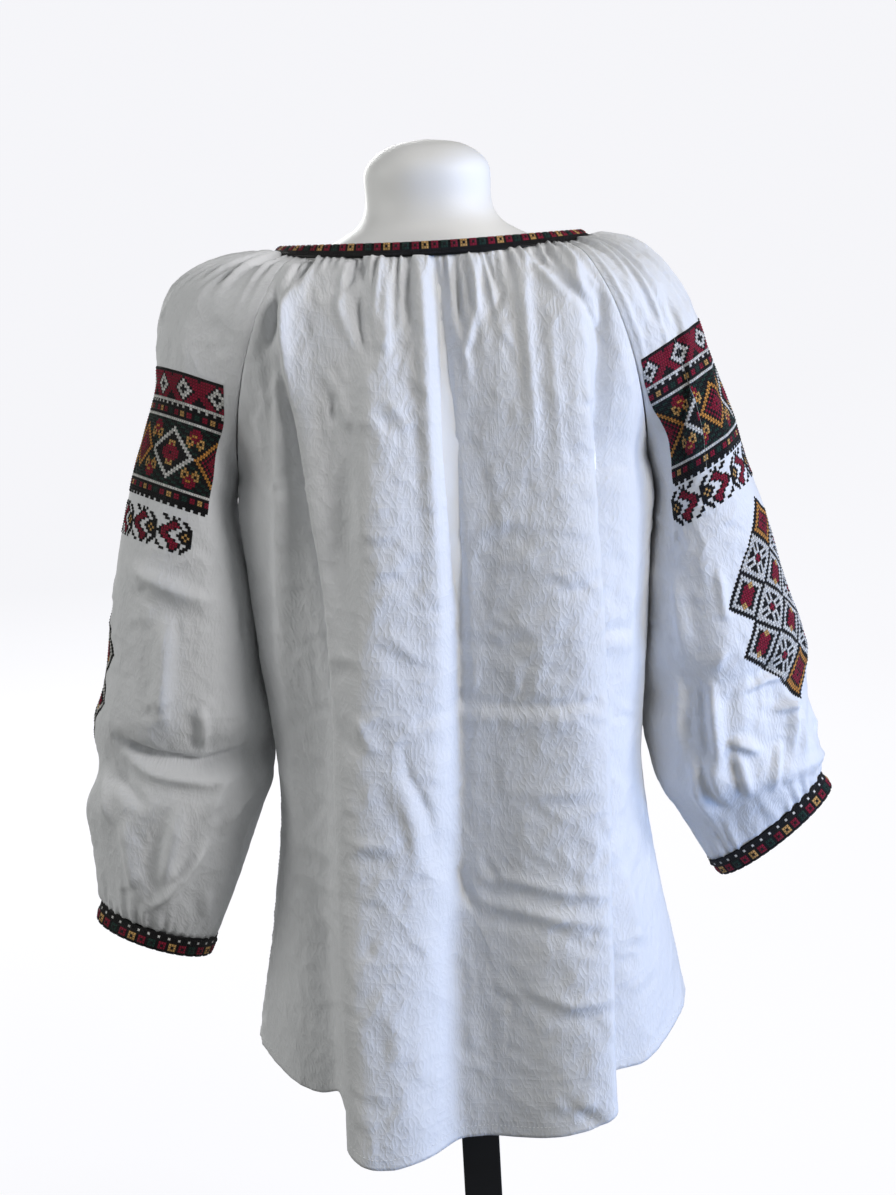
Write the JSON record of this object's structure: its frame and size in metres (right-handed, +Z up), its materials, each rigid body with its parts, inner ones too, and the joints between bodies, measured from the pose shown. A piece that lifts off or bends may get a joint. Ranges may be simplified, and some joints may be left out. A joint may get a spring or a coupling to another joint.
{
  "type": "embroidered folk blouse on a dress form",
  "caption": "White gathered cotton blouse with an embroidered neck band and narrow cuffs, worn by a limbless dress form on a square post and a flat foot.",
  "frame": {"origin": "on the floor, at the middle of the foot's underside, below the post", "axes": "+Z up, +Y towards the blouse's front, +X towards the wearer's right sleeve"},
  "size_m": [0.6108, 0.334, 0.9778],
  "materials": {
    "white_cotton": "matt crepe-like cotton",
    "black_cross_stitch": "cotton covered in black cross-stitch",
    "form_shell": "smooth white shell",
    "black_steel": "satin black paint"
  },
  "bodies": {
    "root": {"back_panel": "white_cotton", "front_panel": "white_cotton", "sleeve_left": "white_cotton", "sleeve_right": "white_cotton", "neck_band": "black_cross_stitch", "cuff_left": "black_cross_stitch", "cuff_right": "black_cross_stitch", "cuff_knot_left": "black_cross_stitch", "cuff_knot_right": "black_cross_stitch", "dress_form": "form_shell", "post": "black_steel", "foot": "black_steel"}
  },
  "joints": []
}
